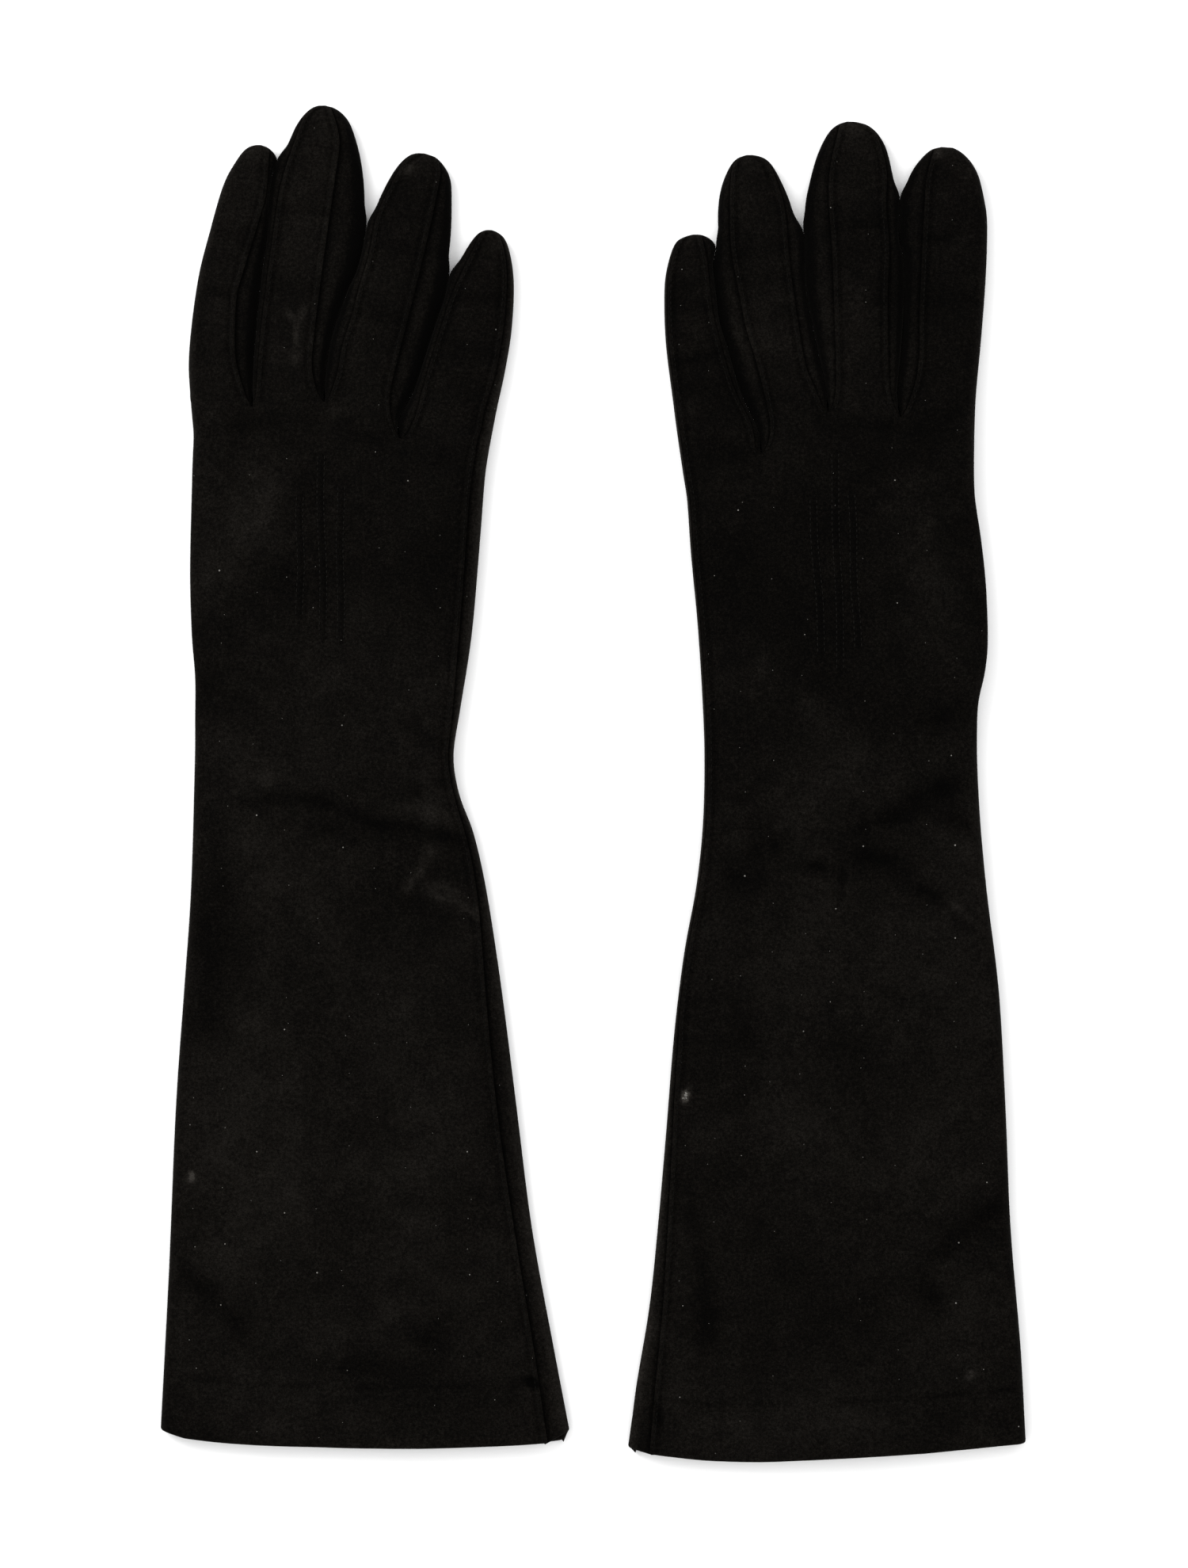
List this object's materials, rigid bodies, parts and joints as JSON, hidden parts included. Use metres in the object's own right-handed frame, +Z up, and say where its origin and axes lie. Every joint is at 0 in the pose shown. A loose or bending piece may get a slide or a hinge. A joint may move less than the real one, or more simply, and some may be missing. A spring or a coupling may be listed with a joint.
{
  "type": "opera gloves",
  "caption": "Elbow-length suede gloves lying flat as a pair, palms down, with side strips between the fingers, stitched rows on the backs and turned-in hems.",
  "frame": {"origin": "centre of the pair's footprint, on the surface that the palms lie on", "axes": "+Y along the gloves towards the fingertips, -Y towards the sleeve mouths, +Z up out of the backs of the hands; the right-hand glove is on the -X side"},
  "size_m": [0.2585, 0.4051, 0.0095],
  "materials": {
    "suede": "napped suede, matt",
    "side_strips": "napped suede, matt",
    "hem_facing": "smooth flesh side, matt",
    "stitching": "fine silk thread"
  },
  "bodies": {
    "right_sleeve": {"right_sleeve_back": "suede", "right_sleeve_palm": "suede", "right_sleeve_fold": "suede", "right_sleeve_seam": "suede"},
    "right_cuff": {"right_cuff_back": "suede", "right_cuff_palm": "suede", "right_cuff_fold": "suede", "right_cuff_seam": "suede", "right_cuff_hem": "hem_facing"},
    "right_hand": {"right_hand_back": "suede", "right_hand_palm": "suede", "right_hand_fold": "suede", "right_hand_seam": "suede", "right_hand_forks": "side_strips", "right_hand_points": "stitching"},
    "right_index": {"right_index_back": "suede", "right_index_palm": "suede", "right_index_fourchette": "side_strips"},
    "right_middle": {"right_middle_back": "suede", "right_middle_palm": "suede", "right_middle_fourchette_index": "side_strips", "right_middle_fourchette_ring": "side_strips"},
    "right_ring": {"right_ring_back": "suede", "right_ring_palm": "suede", "right_ring_fourchette_middle": "side_strips", "right_ring_fourchette_little": "side_strips"},
    "right_little": {"right_little_back": "suede", "right_little_palm": "suede", "right_little_fourchette": "side_strips"},
    "right_thumb": {"right_thumb": "suede"},
    "left_sleeve": {"left_sleeve_back": "suede", "left_sleeve_palm": "suede", "left_sleeve_fold": "suede", "left_sleeve_seam": "suede"},
    "left_cuff": {"left_cuff_back": "suede", "left_cuff_palm": "suede", "left_cuff_fold": "suede", "left_cuff_seam": "suede", "left_cuff_hem": "hem_facing"},
    "left_hand": {"left_hand_back": "suede", "left_hand_palm": "suede", "left_hand_fold": "suede", "left_hand_seam": "suede", "left_hand_forks": "side_strips", "left_hand_points": "stitching"},
    "left_index": {"left_index_back": "suede", "left_index_palm": "suede", "left_index_fourchette": "side_strips"},
    "left_middle": {"left_middle_back": "suede", "left_middle_palm": "suede", "left_middle_fourchette_index": "side_strips", "left_middle_fourchette_ring": "side_strips"},
    "left_ring": {"left_ring_back": "suede", "left_ring_palm": "suede", "left_ring_fourchette_middle": "side_strips", "left_ring_fourchette_little": "side_strips"},
    "left_little": {"left_little_back": "suede", "left_little_palm": "suede", "left_little_fourchette": "side_strips"},
    "left_thumb": {"left_thumb": "suede"}
  },
  "joints": [
    {"name": "right_wrist_bend", "type": "hinge", "parent": "right_sleeve", "child": "right_hand", "pos_m": [-0.08, -0.006, 0.0093], "axis": [1, 0, 0], "range_deg": [0, 75]},
    {"name": "right_cuff_turn_back", "type": "hinge", "parent": "right_sleeve", "child": "right_cuff", "pos_m": [-0.08, -0.108, 0.0096], "axis": [-1, 0, 0], "range_deg": [0, 170]},
    {"name": "right_index_bend", "type": "hinge", "parent": "right_hand", "child": "right_index", "pos_m": [-0.111, 0.12063, 0.0093], "axis": [0.9877, -0.1564, 0], "range_deg": [0, 90]},
    {"name": "right_middle_bend", "type": "hinge", "parent": "right_hand", "child": "right_middle", "pos_m": [-0.091, 0.11746, 0.0093], "axis": [0.9877, -0.1564, 0], "range_deg": [0, 90]},
    {"name": "right_ring_bend", "type": "hinge", "parent": "right_hand", "child": "right_ring", "pos_m": [-0.069, 0.11398, 0.0093], "axis": [0.9877, -0.1564, 0], "range_deg": [0, 90]},
    {"name": "right_little_bend", "type": "hinge", "parent": "right_hand", "child": "right_little", "pos_m": [-0.044, 0.11002, 0.0093], "axis": [0.9877, -0.1564, 0], "range_deg": [0, 90]},
    {"name": "right_thumb_swing", "type": "hinge", "parent": "right_hand", "child": "right_thumb", "pos_m": [-0.1095, 0.03, 0.0016], "axis": [0, 0, 1], "range_deg": [0, 80]},
    {"name": "left_wrist_bend", "type": "hinge", "parent": "left_sleeve", "child": "left_hand", "pos_m": [0.0735, -0.006, 0.0093], "axis": [1, 0, 0], "range_deg": [0, 75]},
    {"name": "left_cuff_turn_back", "type": "hinge", "parent": "left_sleeve", "child": "left_cuff", "pos_m": [0.0735, -0.108, 0.0096], "axis": [-1, 0, 0], "range_deg": [0, 170]},
    {"name": "left_index_bend", "type": "hinge", "parent": "left_hand", "child": "left_index", "pos_m": [0.103, 0.11744, 0.0093], "axis": [0.9903, 0.1392, 0], "range_deg": [0, 90]},
    {"name": "left_middle_bend", "type": "hinge", "parent": "left_hand", "child": "left_middle", "pos_m": [0.08, 0.11421, 0.0093], "axis": [0.9903, 0.1392, 0], "range_deg": [0, 90]},
    {"name": "left_ring_bend", "type": "hinge", "parent": "left_hand", "child": "left_ring", "pos_m": [0.059, 0.11125, 0.0093], "axis": [0.9903, 0.1392, 0], "range_deg": [0, 90]},
    {"name": "left_little_bend", "type": "hinge", "parent": "left_hand", "child": "left_little", "pos_m": [0.038, 0.1083, 0.0093], "axis": [0.9903, 0.1392, 0], "range_deg": [0, 90]},
    {"name": "left_thumb_swing", "type": "hinge", "parent": "left_hand", "child": "left_thumb", "pos_m": [0.106, 0.028, 0.0016], "axis": [0, 0, -1], "range_deg": [0, 80]},
    {"name": "left_glove_shift", "type": "slide", "parent": "right_sleeve", "child": "left_sleeve", "axis": [1, 0, 0], "range_m": [0, 0.15]}
  ]
}
